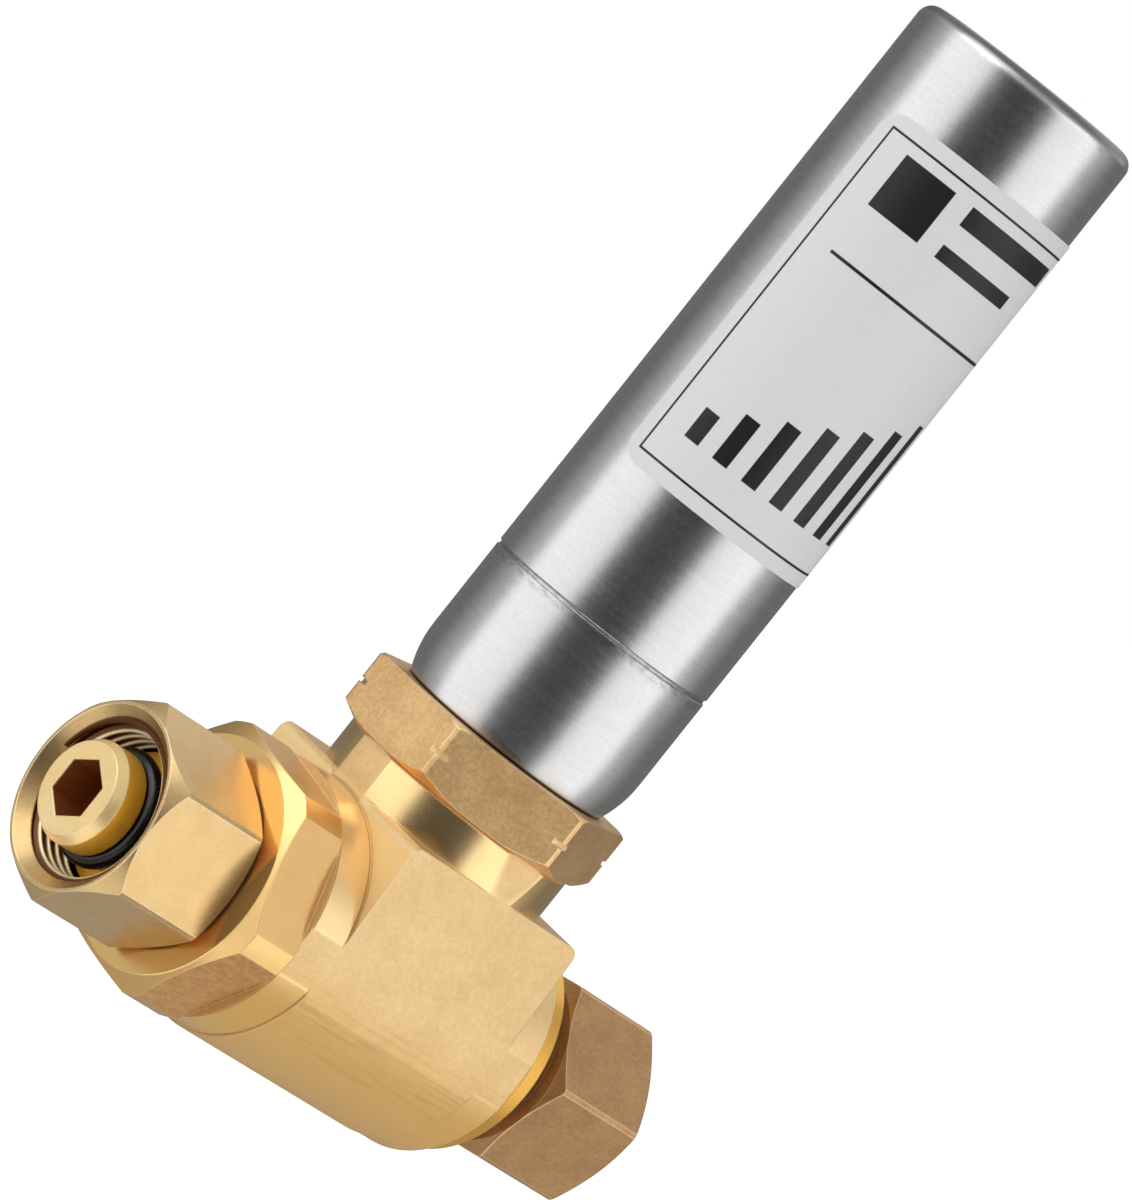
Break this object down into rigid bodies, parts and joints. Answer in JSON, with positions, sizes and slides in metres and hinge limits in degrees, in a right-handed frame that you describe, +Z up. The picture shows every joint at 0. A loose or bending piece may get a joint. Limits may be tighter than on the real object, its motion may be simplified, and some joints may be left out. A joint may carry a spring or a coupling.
{
  "type": "water hammer arrestor",
  "caption": "Piston water hammer arrestor: steel air chamber on a forged brass tee with a swivel inlet nut and a compression outlet nut.",
  "frame": {"origin": "centre of the swivel nut's front face, on the axis of the inlet nose", "axes": "+X along the run from inlet to outlet, +Z up the chamber, +Y away from the labelled side"},
  "size_m": [0.067, 0.0262, 0.1054],
  "materials": {
    "forged_brass": "matte forged, faces turned bright",
    "turned_brass": "satin turned",
    "polished_brass": "bright turned",
    "stainless": "brushed round the can",
    "label_paper": "satin paper",
    "seal_rubber": "greased black rubber",
    "piston_plastic": "moulded"
  },
  "bodies": {
    "body": {"tee_body": "forged_brass", "base_fitting": "turned_brass", "branch_o_ring": "seal_rubber", "chamber": "stainless", "base_o_ring": "seal_rubber", "label": "label_paper", "tailpiece": "turned_brass", "nose_o_ring": "seal_rubber"},
    "piston": {"piston": "piston_plastic", "piston_upper_o_ring": "seal_rubber", "piston_lower_o_ring": "seal_rubber"},
    "swivel_nut": {"swivel_nut": "polished_brass"},
    "ferrule": {"ferrule": "polished_brass"},
    "outlet_nut": {"outlet_nut": "turned_brass"}
  },
  "joints": [
    {"name": "piston_slide", "type": "slide", "parent": "body", "child": "piston", "axis": [0, 0, 1], "range_m": [0, 0.03], "stiffness_N_per_m": 600},
    {"name": "swivel_nut_turn", "type": "hinge", "parent": "body", "child": "swivel_nut", "pos_m": [0.006, 0, 0], "axis": [1, 0, 0], "continuous": true},
    {"name": "outlet_nut_travel", "type": "slide", "parent": "body", "child": "ferrule", "axis": [1, 0, 0], "range_m": [0, 0.0053]},
    {"name": "outlet_nut_turn", "type": "hinge", "parent": "ferrule", "child": "outlet_nut", "pos_m": [0.06, 0, 0], "axis": [1, 0, 0], "range_deg": [0, 1800]}
  ],
  "couplings": [
    {"joint": "outlet_nut_travel", "follows": "outlet_nut_turn", "m_per_rad": 0.00016844}
  ]
}
